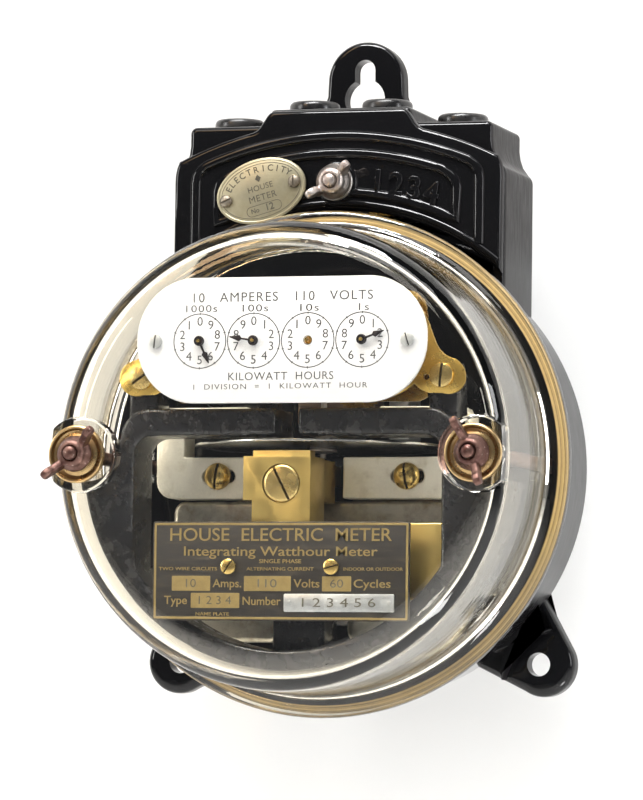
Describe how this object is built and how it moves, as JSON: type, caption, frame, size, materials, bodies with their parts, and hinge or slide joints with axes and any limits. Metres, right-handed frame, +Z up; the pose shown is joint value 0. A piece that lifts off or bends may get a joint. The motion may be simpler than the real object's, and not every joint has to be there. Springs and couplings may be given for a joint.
{
  "type": "dial electric meter",
  "caption": "Wall-hung dial electric meter: round black case with a clear glass drum cover over pointer dials and a spinning disc, and an arched terminal chamber with a hanging lug above.",
  "frame": {"origin": "centre of the round case, on its flat back face that lies on the wall", "axes": "+Y points into the wall, so the dial looks along -Y; +Z is up towards the hanging lug; +X is to the right seen from the front"},
  "size_m": [0.178, 0.1229, 0.244],
  "materials": {
    "black_enamel": "gloss black enamel",
    "clear_glass": "clear pressed glass",
    "brass": "satin brass",
    "old_bronze": "oxidised brown bronze",
    "steel": "dull worn steel",
    "nickel_plate": "cast, nickel plated",
    "aluminium": "bright turned",
    "white_enamel": "white enamelled plate",
    "number_tag": "worn stamped brass",
    "black_plate": "black plate with raised borders",
    "blued_steel": "blued",
    "ochre_felt": "felt ring",
    "hard_rubber": "hard rubber",
    "taped_coil": "varnished tape",
    "core_iron": "laminated iron"
  },
  "bodies": {
    "case": {"case": "black_enamel", "cover_gasket": "ochre_felt", "cover_stud_left": "brass", "cover_stud_right": "brass", "terminal_cover_stud": "brass", "wire_bushing_1": "hard_rubber", "wire_bushing_2": "hard_rubber", "wire_bushing_3": "hard_rubber", "wire_bushing_4": "hard_rubber", "terminal_block": "hard_rubber", "terminal_1": "brass", "terminal_2": "brass", "terminal_3": "brass", "terminal_4": "brass", "name_plate": "black_plate", "name_plate_screw_left": "blued_steel", "name_plate_screw_right": "blued_steel", "dial_plate": "white_enamel", "dial_screw_left": "blued_steel", "dial_screw_right": "blued_steel", "register_front_plate": "brass", "register_back_plate": "brass", "register_pillar_left": "brass", "register_pillar_right": "brass", "register_screw_left": "brass", "register_screw_right": "brass", "upper_bearing": "brass", "lower_bearing": "steel", "bearing_block": "brass", "bearing_block_screw": "brass", "movement_frame": "black_enamel", "brake_magnet_screw_left": "brass", "brake_magnet_screw_right": "brass", "coil_shield": "nickel_plate", "current_core": "core_iron", "potential_core": "core_iron", "potential_coil": "taped_coil", "current_coil_left": "taped_coil", "current_coil_right": "taped_coil"},
    "cover": {"glass_cover": "clear_glass"},
    "cup_left": {"cover_cup_left": "brass"},
    "cup_right": {"cover_cup_right": "brass"},
    "wing_nut_left": {"cover_wing_nut_left": "old_bronze"},
    "wing_nut_right": {"cover_wing_nut_right": "old_bronze"},
    "terminal_lid": {"terminal_cover": "black_enamel", "number_tag": "number_tag"},
    "lid_washer": {"terminal_cover_washer": "steel"},
    "lid_wing_nut": {"terminal_cover_wing_nut": "steel"},
    "magnet_left": {"brake_magnet_left": "nickel_plate"},
    "magnet_right": {"brake_magnet_right": "nickel_plate"},
    "disc_spindle": {"disc": "aluminium", "spindle": "steel"},
    "worm_shaft": {"worm_wheel_shaft": "brass"},
    "shaft_1": {"dial_shaft_1": "brass", "pointer_1": "blued_steel"},
    "shaft_10": {"dial_shaft_10": "brass"},
    "shaft_100": {"dial_shaft_100": "brass", "pointer_100": "blued_steel"},
    "shaft_1000": {"dial_shaft_1000": "brass", "pointer_1000": "blued_steel"}
  },
  "joints": [
    {"name": "cover_lift", "type": "slide", "parent": "case", "child": "cover", "axis": [0, -1, 0], "range_m": [0, 0.13]},
    {"name": "cup_left_travel", "type": "slide", "parent": "cover", "child": "cup_left", "axis": [0, -1, 0], "range_m": [0, 0.00743]},
    {"name": "wing_nut_left_turn", "type": "hinge", "parent": "cup_left", "child": "wing_nut_left", "pos_m": [-0.0704, -0.115, 0], "axis": [0, -1, 0], "range_deg": [0, 2520]},
    {"name": "cup_right_travel", "type": "slide", "parent": "cover", "child": "cup_right", "axis": [0, -1, 0], "range_m": [0, 0.00743]},
    {"name": "wing_nut_right_turn", "type": "hinge", "parent": "cup_right", "child": "wing_nut_right", "pos_m": [0.0704, -0.115, 0], "axis": [0, -1, 0], "range_deg": [0, 2520]},
    {"name": "terminal_lid_lift", "type": "slide", "parent": "case", "child": "terminal_lid", "axis": [0, -1, 0], "range_m": [0, 0.04]},
    {"name": "lid_washer_travel", "type": "slide", "parent": "terminal_lid", "child": "lid_washer", "axis": [0, -1, 0], "range_m": [0, 0.00743]},
    {"name": "lid_wing_nut_turn", "type": "hinge", "parent": "lid_washer", "child": "lid_wing_nut", "pos_m": [0, -0.047, 0.1], "axis": [0, -1, 0], "range_deg": [0, 2520]},
    {"name": "magnet_left_adjust", "type": "slide", "parent": "case", "child": "magnet_left", "axis": [-1, 0, 0], "range_m": [-0.0012, 0.003]},
    {"name": "magnet_right_adjust", "type": "slide", "parent": "case", "child": "magnet_right", "axis": [1, 0, 0], "range_m": [-0.0012, 0.003]},
    {"name": "disc_spin", "type": "hinge", "parent": "case", "child": "disc_spindle", "pos_m": [0, -0.051, 0.0056], "axis": [0, 0, 1], "continuous": true},
    {"name": "worm_shaft_turn", "type": "hinge", "parent": "case", "child": "worm_shaft", "pos_m": [0.01275, -0.07, 0.02851], "axis": [0, -1, 0], "continuous": true},
    {"name": "dial_1_turn", "type": "hinge", "parent": "case", "child": "shaft_1", "pos_m": [0.02895, -0.09, 0.039], "axis": [0, -1, 0], "continuous": true},
    {"name": "dial_10_turn", "type": "hinge", "parent": "case", "child": "shaft_10", "pos_m": [0.00965, -0.09, 0.039], "axis": [0, -1, 0], "continuous": true},
    {"name": "dial_100_turn", "type": "hinge", "parent": "case", "child": "shaft_100", "pos_m": [-0.00965, -0.09, 0.039], "axis": [0, -1, 0], "continuous": true},
    {"name": "dial_1000_turn", "type": "hinge", "parent": "case", "child": "shaft_1000", "pos_m": [-0.02895, -0.09, 0.039], "axis": [0, -1, 0], "continuous": true}
  ],
  "couplings": [
    {"joint": "cup_left_travel", "follows": "wing_nut_left_turn", "m_per_rad": 0.00016839},
    {"joint": "cup_right_travel", "follows": "wing_nut_right_turn", "m_per_rad": 0.00016839},
    {"joint": "lid_washer_travel", "follows": "lid_wing_nut_turn", "m_per_rad": 0.00016839},
    {"joint": "worm_shaft_turn", "follows": "disc_spin", "ratio": 0.025},
    {"joint": "dial_1_turn", "follows": "disc_spin", "ratio": -0.0025},
    {"joint": "dial_10_turn", "follows": "disc_spin", "ratio": 0.00025},
    {"joint": "dial_100_turn", "follows": "disc_spin", "ratio": -0.000025},
    {"joint": "dial_1000_turn", "follows": "disc_spin", "ratio": 0.0000025}
  ]
}
